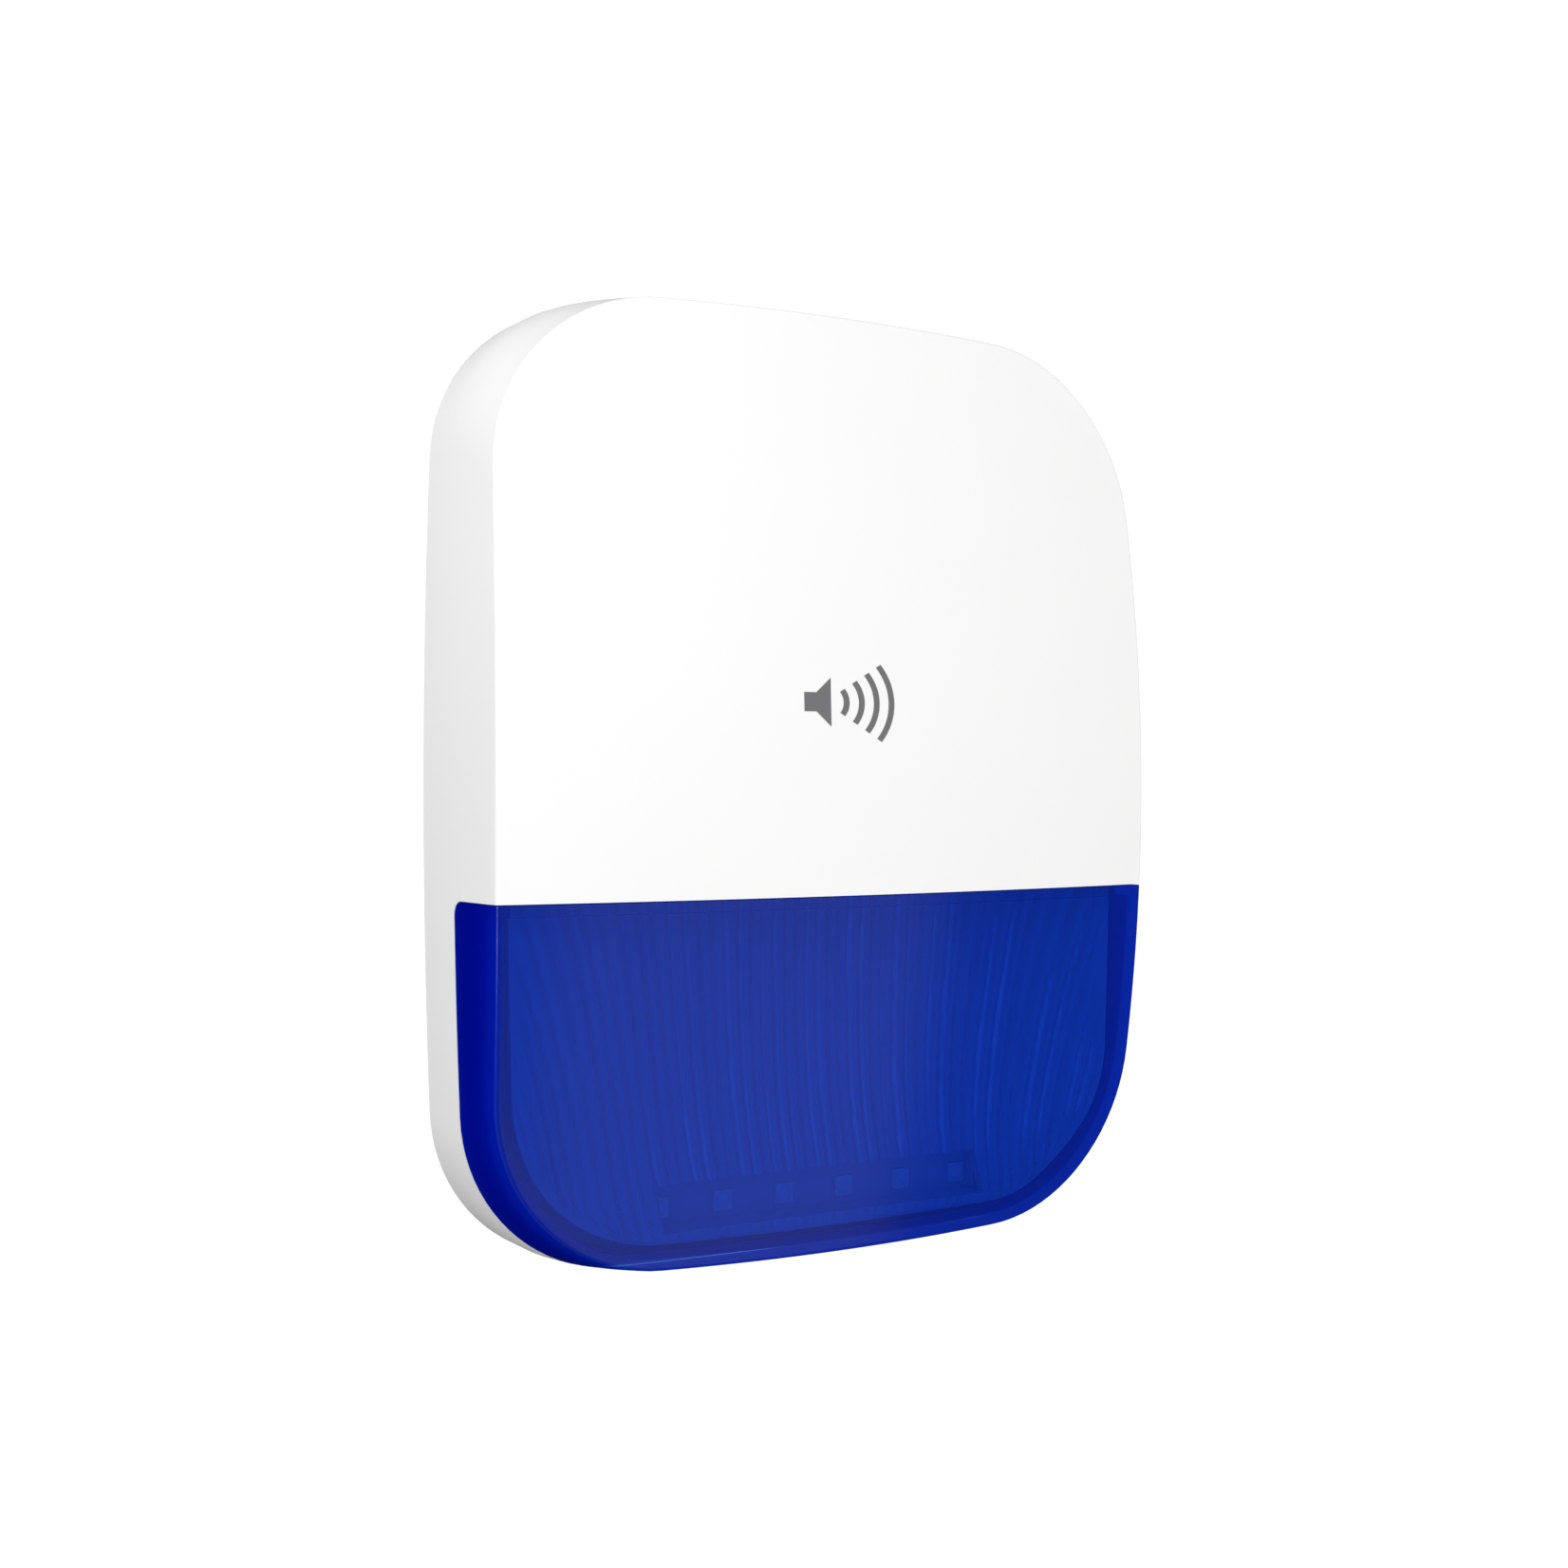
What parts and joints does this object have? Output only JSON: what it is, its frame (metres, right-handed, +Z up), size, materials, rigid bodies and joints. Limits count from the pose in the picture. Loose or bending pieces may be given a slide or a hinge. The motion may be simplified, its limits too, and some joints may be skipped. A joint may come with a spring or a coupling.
{
  "type": "alarm siren",
  "caption": "Outdoor wall alarm siren: white domed cover, transparent blue flash lens across the lower front, sound slots underneath, hung on a wall bracket it swings out from.",
  "frame": {"origin": "centre of the four wall screw holes, on the back face of the wall bracket", "axes": "+Z up the wall, +Y into the wall, so the domed front faces -Y, +X to the right seen from the front"},
  "size_m": [0.194, 0.051, 0.2404],
  "materials": {
    "bracket_white": "matt moulded",
    "shell_white": "satin moulded",
    "lens_blue": "clear tinted polycarbonate",
    "seal_rubber": "soft black",
    "reflector_silver": "metallised",
    "steel": "plain",
    "board_green": "solder mask",
    "board_white": "white solder mask",
    "led_yellow": "phosphor",
    "lead_ivory": "plain",
    "chip_black": "moulded",
    "can_metal": "tinned",
    "brass": "plain",
    "cap_blue": "sleeved",
    "terminal_green": "plain",
    "housing_black": "moulded",
    "lead_red": "insulation",
    "cell_blue": "sleeved",
    "button_grey": "moulded"
  },
  "bodies": {
    "bracket": {"wall_bracket": "bracket_white"},
    "unit": {"front_cover": "shell_white", "blue_lens": "lens_blue", "lens_gasket": "seal_rubber", "reflector_tray": "reflector_silver", "reflector_screws": "steel", "led_board": "board_white", "led_emitters": "led_yellow", "led_flat_lead": "lead_ivory", "back_cover": "bracket_white", "back_cover_gasket": "seal_rubber", "back_cover_screws": "steel", "main_board": "board_green", "board_screws": "steel", "processor": "chip_black", "radio_module": "can_metal", "antenna": "brass", "capacitors": "cap_blue", "terminal_block": "terminal_green", "ribbon_socket": "lead_ivory", "cable_grommet": "seal_rubber", "siren_housing": "housing_black", "piezo_disc": "brass", "siren_cap": "housing_black", "siren_screws": "steel", "siren_leads": "lead_red", "horn_duct": "housing_black", "sound_mesh": "steel", "battery_holder": "housing_black", "batteries": "cell_blue", "battery_contacts": "steel", "battery_leads": "lead_red", "tamper_spring": "steel", "tamper_switch": "chip_black", "power_switch_body": "chip_black", "button_switch": "chip_black"},
    "battery_cover": {"battery_cover": "bracket_white"},
    "tamper_plunger": {"tamper_plunger": "bracket_white", "tamper_clip": "steel"},
    "switch_knob": {"power_switch_knob": "bracket_white"},
    "pairing_button": {"pairing_button": "button_grey"},
    "lock_screw": {"locking_screw": "steel", "lock_collar": "steel", "lock_seal": "seal_rubber"}
  },
  "joints": [
    {"name": "unit_swing", "type": "hinge", "parent": "bracket", "child": "unit", "pos_m": [0, -0.005, 0.112], "axis": [-1, 0, 0], "range_deg": [0, 25]},
    {"name": "lock_turn", "type": "hinge", "parent": "unit", "child": "lock_screw", "pos_m": [0, -0.0055, -0.118], "axis": [0, 0, 1], "continuous": true},
    {"name": "tamper_press", "type": "slide", "parent": "unit", "child": "tamper_plunger", "axis": [0, -1, 0], "range_m": [0, 0.0015], "stiffness_N_per_m": 300, "springref_m": -0.001, "deforming": ["tamper_spring"]},
    {"name": "pairing_press", "type": "slide", "parent": "unit", "child": "pairing_button", "axis": [0, -1, 0], "range_m": [0, 0.0008], "stiffness_N_per_m": 800, "springref_m": -0.0005},
    {"name": "power_slide", "type": "slide", "parent": "unit", "child": "switch_knob", "axis": [-1, 0, 0], "range_m": [0, 0.004]},
    {"name": "battery_cover_slide", "type": "slide", "parent": "unit", "child": "battery_cover", "axis": [1, 0, 0], "range_m": [0, 0.01]}
  ]
}
